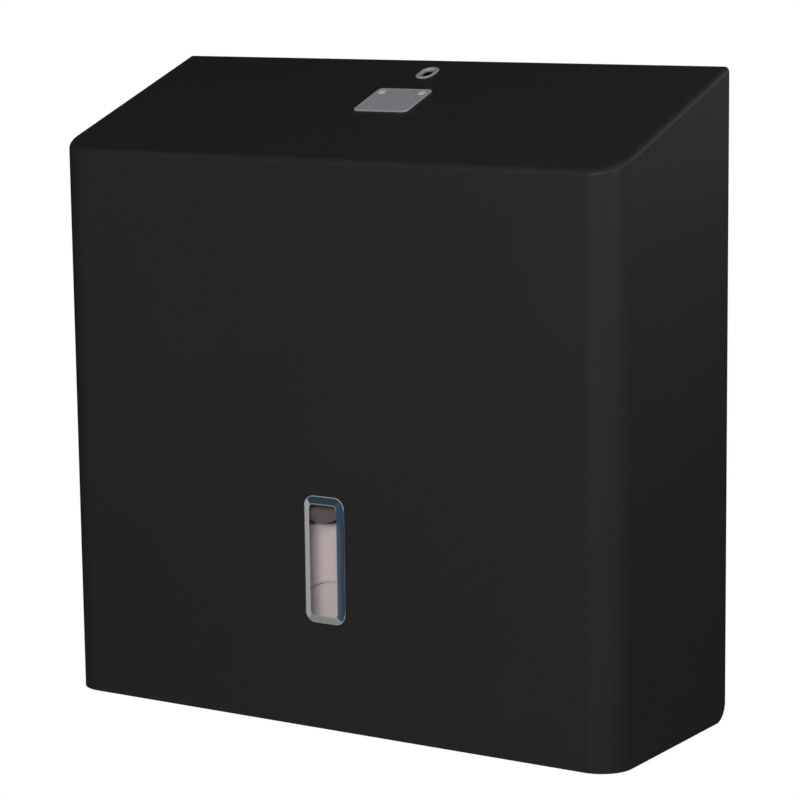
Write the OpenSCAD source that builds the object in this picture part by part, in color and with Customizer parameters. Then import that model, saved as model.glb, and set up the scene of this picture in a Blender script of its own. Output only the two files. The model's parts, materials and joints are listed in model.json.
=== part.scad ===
// Four-roll toilet paper dispenser: a sheet-steel hood hinged over a turning magazine of four rolls.
// Millimetres. X runs to the right seen from the room, Y runs into the wall, Z runs up.
// The origin lies on the wall plane, on the axis that the magazine turns about.

/* [Rolls] */
// Diameter of a full roll
roll_d = 100; // [92:1:108]
// Width of a roll
roll_w = 94; // [86:1:100]
// Outer diameter of the cardboard core
core_d = 43; // [38:0.5:46]
// Wall of the cardboard core
core_t = 1; // [0.6:0.1:1.4]
// Gap between neighbouring rolls on the magazine
roll_gap = 6; // [4:0.5:9]

/* [Hood] */
// Width over the hood
cover_w = 315; // [295:1:340]
// Height of the hood at the wall
cover_h = 316; // [310:1:340]
// How much lower the roof is at the front than at the wall
slope_drop = 40.4; // [30:0.2:44]
// Radius of the two upright front corners
corner_r = 16; // [8:0.5:24]
// Radius of the folded roof edges
edge_r = 2.5; // [1.6:0.1:4]
// Thickness of the hood's sheet steel
sheet_t = 1; // [0.8:0.1:1.3]
// Gap between the hood's rear edge and the wall
wall_gap = 1; // [0.5:0.1:2]
// Height of the folded hem along the bottom edge
hem_h = 8; // [5:0.5:11]

/* [Window] */
// Width of the clear lens
lens_w = 22.8; // [18:0.2:30]
// Height of the clear lens
lens_h = 62.2; // [50:0.2:70]
// Height of the lens middle above the hood's bottom edge
lens_mid = 83.7; // [75:0.1:95]
// Width of the bevel round the lens
lens_bevel = 3.9; // [2:0.1:5]
// How far the lens stands proud of the front
lens_rise = 1.4; // [0.8:0.1:2.4]

/* [Roof fittings] */
// Distance of the keyhole middle from the rear edge, along the roof
key_down = 16.1; // [15.6:0.1:17]
// Width of the oval keyhole
key_w = 5.3; // [4.6:0.1:6]
// Length of the oval keyhole
key_l = 10.5; // [9:0.1:12]
// Distance of the name plate's rear edge from the hood's rear edge, along the roof
tag_down = 36.5; // [35:0.1:44]
// Width of the name plate
tag_w = 31; // [26:0.5:40]
// Length of the name plate
tag_l = 26.8; // [24:0.1:36]

/* [Wall plate] */
// Thickness of the back plate
plate_t = 1.2; // [1:0.1:1.6]
// Spacing of the wall holes across
hole_dx = 240; // [210:1:260]
// Spacing of the wall holes upwards
hole_dz = 200; // [180:1:215]
// Diameter of the wall holes
hole_d = 6.5; // [4.5:0.1:8]

/* [Hinge] */
// Radius of the hood's lower rear corners, round the hinge pin
hinge_r = 9; // [8:0.1:10]
// Diameter of the hinge pins
pin_d = 6; // [4:0.1:7]

/* [Magazine] */
// Diameter of the steel pivot stud
stud_d = 10; // [8:0.1:12]
// Outer radius of the hub tube
hub_r = 22; // [20:0.1:22.6]
// Radius over the lobes of the dark knob in front of the hub
knob_r = 25.6; // [25:0.1:27.5]
// Turn of the knob's lobes on the hub, in degrees
knob_turn = -25; // [-45:1:45]
// Thickness of the magazine's steel cross
cross_t = 1.5; // [1.2:0.1:2]
// Play between a core and its peg, on the radius
peg_play = 0.3; // [0.2:0.05:0.6]

/* [Lock] */
// Travel of the lock bolt
bolt_travel = 9; // [7:0.5:10]
// Thickness of the lock bolt
bolt_t = 3; // [2:0.1:3.4]

/* [Hidden] */
$fn = 96;

// Magazine layout
pitch_r = (roll_d + roll_gap) / sqrt(2);
sweep_r = pitch_r + roll_d / 2;
axis_h = sweep_r + 1.05;

// Depths from the wall to the room, all negative
cross_y = -(plate_t + 6.8);
flange_t = 1.8;
flange_y = cross_y - cross_t;
roll_y = flange_y - flange_t - 0.2;
roll_front = roll_y - roll_w;
knob_y = roll_front - 0.7;
knob_t = 4.6;
tag_in = 4;
lobe_r = 17.6;
y_front = knob_y - knob_t - 1.2 - sheet_t;
y_rear = -wall_gap;
cover_d = y_rear - y_front;

// Heights
z_bottom = -axis_h;
z_top = z_bottom + cover_h;
z_front = z_top - slope_drop;
slope_a = atan(slope_drop / cover_d);
lens_z = z_bottom + lens_mid;

// Hinge
hinge_y = y_rear - hinge_r;
hinge_z = z_bottom + hinge_r;
leaf_t = 2;
washer_t = 1.5;
leaf_x = cover_w / 2 - sheet_t - leaf_t;
plate_x = leaf_x - washer_t;
pin_r = pin_d / 2;

// Core and peg
core_ro = core_d / 2;
core_ri = core_ro - core_t;
peg_r = core_ri - peg_play;
peg_wall = 2.4;

// Lock, in the roof's own directions
bolt_w = 10;
bolt_x0 = -30;
bolt_x1 = 20.5;
bolt_mid = -(key_down + 3);
bolt_top = -6;
case_x = 20;
case_floor = bolt_top - bolt_t - 2;
case_front = bolt_mid - bolt_w / 2 - 3;
case_rear = -7;
strike_x = 22;
strike_t = 1.5;
strike_z0 = z_top - 40;

// Depths along the stud, from the wall
web_t = 5;
front_web = -roll_front - 11.5;
clip_at = front_web + web_t + 2.1;
stud_end = clip_at + 3;

// Detent
detent_r = 34;
detent_a = 45;
leaf_s = 0.5;

// Shared placing

// Turns a shape drawn on X and Y so that it stands on X and Z and grows towards the room from depth y0
module out(y0) {
  translate([0, y0, 0])
    rotate([90, 0, 0])
      children();
}

// Turns a shape drawn on Y and Z so that it grows along X from x0
module across(x0) {
  translate([x0, 0, 0])
    rotate([90, 0, 90])
      children();
}

// Puts a shape on the roof: X across, Y up the slope from the rear edge, Z out of the sheet
module on_roof() {
  translate([0, y_rear, z_top])
    rotate([slope_a, 0, 0])
      children();
}

// Depth and height of a point given in the roof's own directions
function roof_point(y, z) = [
  y_rear + y * cos(slope_a) - z * sin(slope_a),
  z_top + y * sin(slope_a) + z * cos(slope_a)
];

// Puts a shape on the magazine station at angle a, measured from straight down
module station(a) {
  translate([pitch_r * sin(a), 0, -pitch_r * cos(a)])
    children();
}

module ring(h, ro, ri) {
  difference() {
    cylinder(h = h, r = ro);
    translate([0, 0, -1])
      cylinder(h = h + 2, r = ri);
  }
}

// Rounded rectangle from squares and circles
module rounded(w, l, r) {
  square([w - 2 * r, l], center = true);
  square([w, l - 2 * r], center = true);
  for (sx = [-1, 1])
    for (sy = [-1, 1])
      translate([sx * (w / 2 - r), sy * (l / 2 - r)])
        circle(r = r);
}

// Oval with round ends, longer on Y
module oval(w, l) {
  square([w, l - w], center = true);
  for (s = [-1, 1])
    translate([0, s * (l - w) / 2])
      circle(r = w / 2);
}

// Hood

// Side outline of the hood
module side_outline() {
  tl = edge_r / tan(45 + slope_a / 2);
  polygon([
    [y_rear, hinge_z],
    [y_rear, z_top],
    [y_front + tl * cos(slope_a), z_front + tl * sin(slope_a)],
    [y_front, z_front - tl],
    [y_front, z_bottom],
    [hinge_y, z_bottom]
  ]);
  translate([y_front + edge_r, z_front - tl])
    circle(r = edge_r);
  translate([hinge_y, hinge_z])
    circle(r = hinge_r);
}

// Side outline of the space inside the sheet, running out at the bottom and the rear
module side_hollow() {
  r = max(edge_r - sheet_t, 0.4);
  yf = y_front + sheet_t;
  zf = z_front - (sheet_t + 0.02) / cos(slope_a) + sheet_t * tan(slope_a);
  tl = r / tan(45 + slope_a / 2);
  polygon([
    [24, z_bottom - 20],
    [24, zf + (24 - yf) * tan(slope_a)],
    [yf + tl * cos(slope_a), zf + tl * sin(slope_a)],
    [yf + r - r * sin(60), zf - tl + r * cos(60)],
    [yf + r - r * sin(80), zf - tl + r * cos(80)],
    [yf - 0.02, zf - tl],
    [yf - 0.02, z_bottom - 20]
  ]);
}

// Plan outline of the hood, shrunk by off
module plan_outline(off, open) {
  hw = cover_w / 2 - off;
  r = corner_r - off;
  yf = y_front + off;
  yr = open ? 20 : y_rear;
  translate([-hw, yf + r])
    square([2 * hw, yr - yf - r]);
  translate([-hw + r, yf])
    square([2 * hw - 2 * r, yr - yf]);
  for (s = [-1, 1])
    translate([s * (hw - r), yf + r])
      circle(r = r);
}

// Cross-section of the hood under the roof, seen along the slope
module roof_outline(off) {
  hw = cover_w / 2 - off;
  r = max(edge_r - off, 0.4);
  translate([-hw, -400])
    square([2 * hw, 400 - off - r]);
  translate([-hw + r, -400])
    square([2 * hw - 2 * r, 400 - off]);
  for (s = [-1, 1])
    translate([s * (hw - r), -off - r])
      circle(r = r);
}

module hood_body(off, open) {
  intersection() {
    translate([0, 0, z_bottom - 10])
      linear_extrude(height = cover_h + 60)
        plan_outline(off, open);
    across(-cover_w)
      linear_extrude(height = 2 * cover_w)
        if (open)
          side_hollow();
        else
          side_outline();
    on_roof()
      translate([0, 100, 0])
        rotate([90, 0, 0])
          linear_extrude(height = 500)
            roof_outline(off);
  }
}

module hem_ring() {
  difference() {
    intersection() {
      translate([0, 0, z_bottom])
        linear_extrude(height = hem_h)
          plan_outline(sheet_t, true);
      translate([-cover_w, y_front, z_bottom])
        cube([2 * cover_w, cover_d - 28, hem_h]);
    }
    translate([0, 0, z_bottom - 1])
      linear_extrude(height = hem_h + 2)
        plan_outline(2 * sheet_t, true);
  }
}

module cover_shell() {
  color([0.12, 0.12, 0.12])
    difference() {
      union() {
        difference() {
          hood_body(0, false);
          hood_body(sheet_t, true);
        }
        hem_ring();
      }
      translate([0, 0, lens_z])
        out(y_front + sheet_t + 1)
          linear_extrude(height = sheet_t + 2)
            rounded(lens_w - 4, lens_h - 4, 3.5);
      on_roof()
        translate([0, -key_down, -sheet_t - 0.5])
          linear_extrude(height = sheet_t + 1)
            oval(key_w + 3, key_l + 2.2);
      on_roof()
        for (s = [-1, 1])
          translate([s * (tag_w / 2 - tag_in), -tag_down - tag_in - 0.7, -sheet_t - 0.5])
            cylinder(h = sheet_t + 1, r = 1.3);
    }
}

module window_lens() {
  color([0.75, 0.85, 0.92])
    translate([0, 0, lens_z]) {
      hull() {
        out(y_front)
          linear_extrude(height = 0.35)
            rounded(lens_w, lens_h, 5.5);
        out(y_front - lens_rise + 0.05)
          linear_extrude(height = 0.05)
            rounded(lens_w - 2 * lens_bevel, lens_h - 2 * lens_bevel, 2.2);
      }
      out(y_front + sheet_t)
        linear_extrude(height = sheet_t)
          rounded(lens_w - 4.4, lens_h - 4.4, 3.3);
    }
}

module nameplate() {
  color([0.55, 0.57, 0.6])
    on_roof()
      difference() {
        translate([0, -tag_down - tag_l / 2, 0])
          linear_extrude(height = 0.8)
            rounded(tag_w, tag_l, 2.5);
        for (s = [-1, 1])
          translate([s * (tag_w / 2 - tag_in), -tag_down - tag_in - 0.7, -1])
            cylinder(h = 3, r = 1.3);
      }
}

module nameplate_rivets() {
  color([0.75, 0.75, 0.76])
    on_roof()
      for (s = [-1, 1])
        translate([s * (tag_w / 2 - tag_in), -tag_down - tag_in - 0.7, 0]) {
          translate([0, 0, -sheet_t - 0.8])
            cylinder(h = sheet_t + 1.6, r = 1.25);
          translate([0, 0, -sheet_t - 0.85])
            cylinder(h = 0.8, r = 2);
          translate([0, 0, 0.8])
            intersection() {
              translate([0, 0, -3.4])
                sphere(r = 4.3);
              cylinder(h = 1, r = 2.6);
            }
        }
}

module keyhole_grommet() {
  color([0.5, 0.5, 0.5])
    on_roof()
      translate([0, -key_down, 0])
        difference() {
          union() {
            linear_extrude(height = 0.7)
              oval(key_w + 5.4, key_l + 4.2);
            translate([0, 0, 0.7])
              linear_extrude(height = 0.4)
                oval(key_w + 4.2, key_l + 3);
            translate([0, 0, -2.2])
              linear_extrude(height = 2.2)
                oval(key_w + 2.6, key_l + 1.8);
          }
          translate([0, 0, -4])
            linear_extrude(height = 8)
              oval(key_w, key_l);
        }
}

// Hinge

module leaf_outline() {
  difference() {
    union() {
      translate([hinge_y, hinge_z])
        circle(r = hinge_r - 1.5);
      translate([hinge_y - hinge_r + 1.5, hinge_z])
        square([2 * hinge_r - 3, 24]);
    }
    translate([hinge_y, hinge_z])
      circle(r = pin_r + 0.05);
  }
}

module hinge_leaf_right() {
  color([0.2, 0.2, 0.2])
    across(leaf_x)
      linear_extrude(height = leaf_t)
        leaf_outline();
}

module hinge_leaf_left() {
  color([0.2, 0.2, 0.2])
    across(-leaf_x - leaf_t)
      linear_extrude(height = leaf_t)
        leaf_outline();
}

module pin() {
  translate([0, hinge_y, hinge_z])
    rotate([0, 90, 0]) {
      translate([0, 0, plate_x - plate_t])
        cylinder(h = leaf_x + leaf_t - 0.2 - plate_x + plate_t, r = pin_r);
      translate([0, 0, plate_x - plate_t - 1.8])
        cylinder(h = 1.8, r = pin_r + 2);
    }
}

module hinge_pin_right() {
  color([0.7, 0.7, 0.72])
    pin();
}

module hinge_pin_left() {
  color([0.7, 0.7, 0.72])
    mirror([1, 0, 0])
      pin();
}

module hinge_washers() {
  color([0.9, 0.9, 0.88])
    for (x0 = [plate_x, -leaf_x])
      translate([x0, hinge_y, hinge_z])
        rotate([0, 90, 0])
          ring(washer_t, pin_r + 3, pin_r + 0.05);
}

// Wall plate

module flange_outline() {
  difference() {
    union() {
      translate([-14, z_bottom + 4])
        square([14, 270]);
      translate([hinge_y, hinge_z])
        circle(r = hinge_r - 1.5);
      translate([hinge_y - hinge_r + 1.5, hinge_z])
        square([2 * hinge_r - 3, 30]);
    }
    translate([hinge_y, hinge_z])
      circle(r = pin_r + 0.02);
  }
}

module back_plate() {
  color([0.72, 0.73, 0.74])
    difference() {
      union() {
        translate([-plate_x, -plate_t, z_bottom + 4])
          cube([2 * plate_x, plate_t, cover_h - 10]);
        for (x0 = [-plate_x, plate_x - plate_t])
          across(x0)
            linear_extrude(height = plate_t)
              flange_outline();
        for (s = [-1, 1])
          intersection() {
            translate([s * hole_dx * 0.43, -plate_t + 0.6, -88])
              cylinder(h = 176, r = 3);
            translate([-plate_x, -10, -200])
              cube([2 * plate_x, 10, 400]);
          }
      }
      for (s = [-1, 1])
        translate([s * hole_dx * 0.43, 0, -86])
          cylinder(h = 172, r = 2);
      for (sx = [-1, 1])
        for (sz = [-1, 1])
          translate([sx * hole_dx / 2, 0, sz * hole_dz / 2])
            out(1)
              cylinder(h = plate_t + 2, r = hole_d / 2);
      for (x = [62, 70])
        translate([x, 0, -detent_r * sin(detent_a)])
          out(1)
            cylinder(h = plate_t + 2, r = 1.6);
      for (z = [6, 20])
        translate([strike_x + 13, 0, strike_z0 + z])
          out(1)
            cylinder(h = plate_t + 2, r = 1.6);
    }
}

module pivot_stud() {
  color([0.75, 0.75, 0.77])
    difference() {
      union() {
        out(-plate_t)
          cylinder(h = 2, r = 13);
        out(-plate_t - 2)
          cylinder(h = 3.7, r = stud_d / 2 + 2.5);
        out(-plate_t)
          cylinder(h = stud_end - plate_t, r = stud_d / 2);
      }
      out(-clip_at)
        ring(1.1, stud_d, stud_d / 2 - 0.8);
    }
}

module stud_washer() {
  color([0.8, 0.8, 0.82])
    out(-clip_at + 1)
      ring(1, stud_d / 2 + 4, stud_d / 2 + 0.05);
}

module stud_clip() {
  color([0.35, 0.35, 0.38])
    out(-clip_at - 0.05)
      difference() {
        ring(1, stud_d / 2 + 3, stud_d / 2 - 0.75);
        translate([-stud_d / 4, 0, -1])
          cube([stud_d / 2, stud_d, 3]);
      }
}

module detent_spring() {
  bx = detent_r * cos(detent_a);
  bz = -detent_r * sin(detent_a);
  yb = -plate_t;
  yt = cross_y + 0.5;
  color([0.6, 0.62, 0.66])
    difference() {
      union() {
        translate([0, 0, bz - 6])
          linear_extrude(height = 12)
            polygon([
              [76, yb],
              [57, yb],
              [34, yt + leaf_s],
              [bx - 7, yt + leaf_s],
              [bx - 7, yt],
              [34.1, yt],
              [57.1, yb - leaf_s],
              [76, yb - leaf_s]
            ]);
        translate([bx, 0, bz])
          intersection() {
            out(yt)
              translate([0, 0, -1.6])
                sphere(r = 3.2);
            out(yt + 0.2)
              cylinder(h = 4, r = 5);
          }
      }
      for (x = [62, 70])
        translate([x, 0, bz])
          out(yb + 1)
            cylinder(h = 4, r = 1.6);
    }
}

module detent_rivets() {
  color([0.75, 0.75, 0.77])
    for (x = [62, 70])
      translate([x, 0, -detent_r * sin(detent_a)]) {
        out(0)
          cylinder(h = plate_t + leaf_s + 0.1, r = 1.55);
        out(-plate_t - leaf_s)
          cylinder(h = 1.1, r = 3);
      }
}

// Strike for the lock bolt, a bracket on the wall plate
module strike_bracket() {
  front = bolt_mid - bolt_w / 2 - 3.5;
  color([0.68, 0.69, 0.7])
    difference() {
      union() {
        translate([strike_x, -plate_t - strike_t, strike_z0])
          cube([22, strike_t, 26]);
        across(strike_x)
          linear_extrude(height = strike_t)
            polygon([
              [-plate_t, strike_z0],
              [-plate_t, z_top - 3 / cos(slope_a) + (-plate_t - y_rear) * tan(slope_a)],
              roof_point(front, -3),
              roof_point(front, bolt_top - bolt_t - 4),
              [-plate_t - strike_t - 4, strike_z0]
            ]);
      }
      on_roof()
        translate([strike_x - 2, bolt_mid - bolt_w / 2 - 0.5, bolt_top - bolt_t - 0.5])
          cube([strike_t + 4, bolt_w + 1, bolt_t + 1]);
      for (z = [6, 20])
        translate([strike_x + 13, 0, strike_z0 + z])
          out(1)
            cylinder(h = 8, r = 1.6);
    }
}

module strike_rivets() {
  color([0.75, 0.75, 0.77])
    for (z = [6, 20])
      translate([strike_x + 13, 0, strike_z0 + z]) {
        out(0)
          cylinder(h = plate_t + strike_t + 0.1, r = 1.55);
        out(-plate_t - strike_t)
          cylinder(h = 1.1, r = 3);
      }
}

// Lock

module lock_case() {
  depth = case_rear - case_front;
  color([0.07, 0.07, 0.075])
    on_roof()
      difference() {
        union() {
          translate([-case_x, case_front, case_floor])
            cube([2 * case_x, depth, -sheet_t - 0.05 - case_floor]);
          translate([-case_x + 6, case_front - 7, -sheet_t - 1.05])
            cube([2 * case_x - 12, 8, 1]);
        }
        translate([-case_x + 1, case_front + 1, case_floor + 1])
          cube([2 * case_x - 2, depth - 2, 40]);
        translate([-case_x - 5, bolt_mid - bolt_w / 2 - 0.2, bolt_top - bolt_t - 0.2])
          cube([2 * case_x + 10, bolt_w + 0.4, bolt_t + 0.4]);
      }
}

module lock_bolt() {
  color([0.09, 0.09, 0.1])
    on_roof()
      difference() {
        translate([bolt_x0, bolt_mid - bolt_w / 2, bolt_top - bolt_t])
          cube([bolt_x1 - bolt_x0, bolt_w, bolt_t]);
        translate([-4, bolt_mid + bolt_w / 2 - 4, bolt_top - bolt_t - 1])
          cube([8, 8, bolt_t + 2]);
      }
}

// Magazine

module carousel_cross() {
  color([0.7, 0.71, 0.73])
    out(cross_y)
      difference() {
        linear_extrude(height = cross_t)
          difference() {
            union() {
              circle(r = 44);
              for (a = [0, 90])
                rotate(a)
                  square([2 * pitch_r, 34], center = true);
              for (a = [0, 90, 180, 270])
                rotate(a)
                  translate([pitch_r, 0])
                    circle(r = 24);
            }
            circle(r = stud_d / 2 + 4);
            for (a = [0, 90, 180, 270])
              rotate(a) {
                translate([pitch_r, 0]) {
                  circle(r = 2.2);
                  for (s = [-1, 1])
                    translate([0, s * 12])
                      circle(r = 2.1);
                }
                rotate(detent_a) {
                  translate([detent_r, 0])
                    circle(r = 4);
                  translate([15.5, 0])
                    circle(r = 2.2);
                }
              }
          }
      }
}

module hub_bush_rear() {
  color([0.92, 0.92, 0.9]) {
    out(cross_y + 1)
      ring(1, stud_d / 2 + 6, stud_d / 2 + 0.05);
    out(cross_y)
      ring(cross_t + web_t, stud_d / 2 + 3.95, stud_d / 2 + 0.05);
  }
}

module hub_bush_front() {
  color([0.92, 0.92, 0.9]) {
    out(-front_web)
      ring(web_t, stud_d / 2 + 3.95, stud_d / 2 + 0.05);
    out(-front_web - web_t)
      ring(1, stud_d / 2 + 6, stud_d / 2 + 0.05);
  }
}

module carousel_hub() {
  len = flange_y - knob_y;
  color([0.2, 0.2, 0.21])
    difference() {
      union() {
        out(flange_y)
          ring(len, hub_r, hub_r - 3);
        out(flange_y)
          cylinder(h = web_t, r = hub_r - 1);
        out(-front_web)
          cylinder(h = web_t, r = hub_r - 1);
      }
      out(1)
        cylinder(h = 200, r = stud_d / 2 + 4);
      out(flange_y + 1)
        for (a = [0, 90, 180, 270])
          rotate(a + detent_a)
            translate([15.5, 0, 0])
              cylinder(h = web_t, r = 2.05);
    }
}

module hub_screws() {
  color([0.8, 0.8, 0.82])
    for (a = [0, 90, 180, 270])
      rotate([0, a + detent_a, 0])
        translate([15.5, 0, 0]) {
          out(cross_y + 2.2)
            screw_head(3.5);
          out(cross_y)
            cylinder(h = cross_t + web_t - 1.5, r = 2);
        }
}

// Pan head with a cross recess, facing the wall side
module screw_head(r) {
  difference() {
    cylinder(h = 2.2, r = r);
    for (a = [0, 90])
      rotate(a)
        translate([0, 0, 0.4])
          cube([r * 1.2, 0.9, 1.6], center = true);
  }
}

// Four rounded lobes, one towards each roll
module knob_outline() {
  for (a = [0:90:270])
    rotate(a)
      translate([knob_r - lobe_r, 0])
        circle(r = lobe_r);
}

module hub_knob() {
  color([0.24, 0.24, 0.25]) {
    difference() {
      out(knob_y)
        linear_extrude(height = knob_t)
          rotate(knob_turn)
            knob_outline();
      out(knob_y - knob_t + 0.8)
        cylinder(h = 2, r = 14);
    }
    out(knob_y + 3.2)
      ring(3.2, hub_r - 3.08, hub_r - 6);
  }
}

// One peg, drawn on the station's own axis
module peg() {
  tip = -roll_front - 0.5;
  tongue = 26;
  difference() {
    union() {
      out(flange_y)
        cylinder(h = flange_t, r = peg_r + 6.8);
      difference() {
        union() {
          out(flange_y)
            ring(tip + flange_y, peg_r, peg_r - peg_wall);
          out(-tip + 2)
            cylinder(h = 2, r = peg_r - 1);
        }
        for (s = [-1, 1])
          translate([s * peg_r, -tip + tongue / 2 - 1, 0])
            cube([2 * peg_wall + 3, tongue + 2, 14.4], center = true);
      }
      for (s = [-1, 1])
        intersection() {
          union() {
            out(-tip + tongue + 2)
              ring(tongue + 4.3, peg_r, peg_r - peg_wall);
            out(roll_front - 0.3)
              ring(1.5, peg_r + 1.2, peg_r - peg_wall);
          }
          translate([s * peg_r, -tip + tongue / 2 - 1, 0])
            cube([2 * peg_wall + 3, tongue + 10, 12], center = true);
        }
      out(flange_y)
        cylinder(h = 18, r = 5);
      for (a = [0, 90])
        out(flange_y)
          rotate(a)
            translate([-peg_r + 1, -0.8, 0])
              cube([2 * peg_r - 2, 1.6, 16]);
      for (s = [-1, 1])
        translate([s * 12, 0, 0])
          out(cross_y - 0.2)
            cylinder(h = cross_t + 0.4, r = 2);
    }
    out(flange_y + 1)
      cylinder(h = 15, r = 2.05);
  }
}

module peg_bottom() {
  color([0.88, 0.88, 0.86])
    station(0)
      peg();
}

module peg_right() {
  color([0.88, 0.88, 0.86])
    station(90)
      rotate([0, -90, 0])
        peg();
}

module peg_top() {
  color([0.88, 0.88, 0.86])
    station(180)
      rotate([0, 180, 0])
        peg();
}

module peg_left() {
  color([0.88, 0.88, 0.86])
    station(270)
      rotate([0, 90, 0])
        peg();
}

module peg_screws() {
  color([0.8, 0.8, 0.82])
    for (a = [0, 90, 180, 270])
      station(a) {
        out(cross_y + 2.2)
          screw_head(3.5);
        out(cross_y)
          cylinder(h = 14, r = 2);
      }
}

// Rolls

module core() {
  out(roll_y)
    ring(roll_w, core_ro, core_ri);
}

// Wound paper, with its loose outer end lying on the roll from angle a
module paper(a) {
  ro = roll_d / 2;
  ri = core_ro + 0.05;
  out(roll_y)
    rotate_extrude() {
      translate([ri, 0])
        square([ro - ri - 1.2, roll_w]);
      translate([ri, 1.2])
        square([ro - ri, roll_w - 2.4]);
      for (z = [1.2, roll_w - 1.2])
        translate([ro - 1.2, z])
          circle(r = 1.2);
    }
  out(roll_y - 1.2)
    linear_extrude(height = roll_w - 2.4)
      rotate(a)
        intersection() {
          difference() {
            circle(r = ro + 0.45);
            circle(r = ro - 0.5);
          }
          polygon([[0, 0], [90, 0], [90, 90]]);
        }
}

module roll_core_bottom() {
  color([0.62, 0.5, 0.38])
    station(0)
      core();
}

module roll_core_right() {
  color([0.62, 0.5, 0.38])
    station(90)
      core();
}

module roll_core_top() {
  color([0.62, 0.5, 0.38])
    station(180)
      core();
}

module roll_core_left() {
  color([0.62, 0.5, 0.38])
    station(270)
      core();
}

module paper_roll_bottom() {
  color([0.95, 0.94, 0.92])
    station(0)
      paper(-60);
}

module paper_roll_right() {
  color([0.95, 0.94, 0.92])
    station(90)
      paper(-20);
}

module paper_roll_top() {
  color([0.95, 0.94, 0.92])
    station(180)
      paper(20);
}

module paper_roll_left() {
  color([0.95, 0.94, 0.92])
    station(270)
      paper(150);
}

back_plate();
pivot_stud();
stud_washer();
stud_clip();
detent_spring();
detent_rivets();
strike_bracket();
strike_rivets();
hinge_pin_left();
hinge_pin_right();
hinge_washers();
cover_shell();
hinge_leaf_left();
hinge_leaf_right();
window_lens();
nameplate();
nameplate_rivets();
keyhole_grommet();
lock_case();
lock_bolt();
carousel_cross();
carousel_hub();
hub_bush_rear();
hub_bush_front();
hub_screws();
hub_knob();
peg_bottom();
peg_right();
peg_top();
peg_left();
peg_screws();
roll_core_bottom();
roll_core_right();
roll_core_top();
roll_core_left();
paper_roll_bottom();
paper_roll_right();
paper_roll_top();
paper_roll_left();
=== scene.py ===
# %% [markdown]
# # A four-roll toilet paper dispenser
# The object is a wall cabinet: a black powder-coated hood with a sloped roof, hinged over a turning
# magazine that carries four toilet rolls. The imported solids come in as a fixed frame. The hood, its
# window and small fittings, the paper and the knob are modelled again here with more detail. The
# other solids keep their shape, get softened edges and smooth curves, and each gets its finish.

# %% Load the solids
import json
import math
import bmesh
import bpy
from mathutils import Matrix, Vector

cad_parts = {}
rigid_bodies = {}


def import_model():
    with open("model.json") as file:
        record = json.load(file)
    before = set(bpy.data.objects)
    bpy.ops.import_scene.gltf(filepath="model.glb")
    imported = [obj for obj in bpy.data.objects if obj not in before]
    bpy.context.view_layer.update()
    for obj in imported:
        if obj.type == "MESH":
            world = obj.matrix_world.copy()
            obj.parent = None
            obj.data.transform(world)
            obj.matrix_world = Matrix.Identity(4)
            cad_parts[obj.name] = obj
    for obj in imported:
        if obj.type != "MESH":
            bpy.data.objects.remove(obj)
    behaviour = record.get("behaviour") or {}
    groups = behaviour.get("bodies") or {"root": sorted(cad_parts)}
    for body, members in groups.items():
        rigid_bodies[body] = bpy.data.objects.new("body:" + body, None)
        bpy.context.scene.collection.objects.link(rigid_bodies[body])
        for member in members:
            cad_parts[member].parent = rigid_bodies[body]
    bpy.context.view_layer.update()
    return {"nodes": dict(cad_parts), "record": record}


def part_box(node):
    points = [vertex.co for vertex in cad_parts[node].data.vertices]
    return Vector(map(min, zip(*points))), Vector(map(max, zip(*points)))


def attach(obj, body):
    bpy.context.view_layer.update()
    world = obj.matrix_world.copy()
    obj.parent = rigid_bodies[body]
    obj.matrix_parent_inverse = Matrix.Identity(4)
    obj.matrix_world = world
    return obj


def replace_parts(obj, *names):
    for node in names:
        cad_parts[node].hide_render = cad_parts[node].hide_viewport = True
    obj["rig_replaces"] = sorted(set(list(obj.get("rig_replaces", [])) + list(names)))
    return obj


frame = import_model()
nodes = frame["nodes"]
record = frame["record"]
MM = 0.001

# %% [markdown]
# ## Camera
# The photograph was taken from the right and a little above, with a long lens. The numbers come
# from fitting a camera to the hood's straight edges: a turn to the right, a tilt down, a very small
# roll, and a focal length for a sensor 36 mm wide. Building the matrix from three directions keeps
# the small roll, which a simple aim at the middle would lose.

# %% Camera
TURN, TILT, ROLL = math.radians(32.772), math.radians(9.569), math.radians(-0.701)
back = Vector((math.sin(TURN) * math.cos(TILT), -math.cos(TURN) * math.cos(TILT), math.sin(TILT)))
right = Vector((math.cos(TURN), math.sin(TURN), 0))
up = back.cross(right)
right, up = (math.cos(ROLL) * right + math.sin(ROLL) * up,
             math.cos(ROLL) * up - math.sin(ROLL) * right)
camera = bpy.data.objects.new("camera", bpy.data.cameras.new("camera"))
bpy.context.scene.collection.objects.link(camera)
camera.matrix_world = Matrix.Translation((0.76466, -1.23272, 0.26357)) @ Matrix(
    (right, up, back)).transposed().to_4x4()
camera.data.sensor_width = 36
camera.data.lens = 130.44
camera.data.clip_end = 50
bpy.context.scene.camera = camera
print("camera looks along", tuple(round(-c, 3) for c in back))

# %% [markdown]
# ## Small helpers
# Operators act on whatever is selected, so each step starts from an empty selection and then picks
# faces, edges or corners by their place or normal. The helpers only do that bookkeeping: `only`
# selects one piece, `shape` opens it for editing, `pick` selects in it by a test, `settle` writes
# an object's place into its mesh so that the object itself sits at the origin, and `smooth` shades
# round forms round while flat faces stay flat, because large faces weigh most in the normals.


# %% Helpers for selecting and finishing
def only(piece):
    bpy.ops.object.select_all(action="DESELECT")
    piece.select_set(True)
    bpy.context.view_layer.objects.active = piece
    return piece


def start(name, primitive, **values):
    bpy.ops.object.select_all(action="DESELECT")
    primitive(**values)
    piece = bpy.context.object
    piece.name = piece.data.name = name
    return piece


def shape(piece):
    only(piece)
    bpy.ops.object.mode_set(mode="EDIT")
    bpy.ops.mesh.select_all(action="DESELECT")


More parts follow.
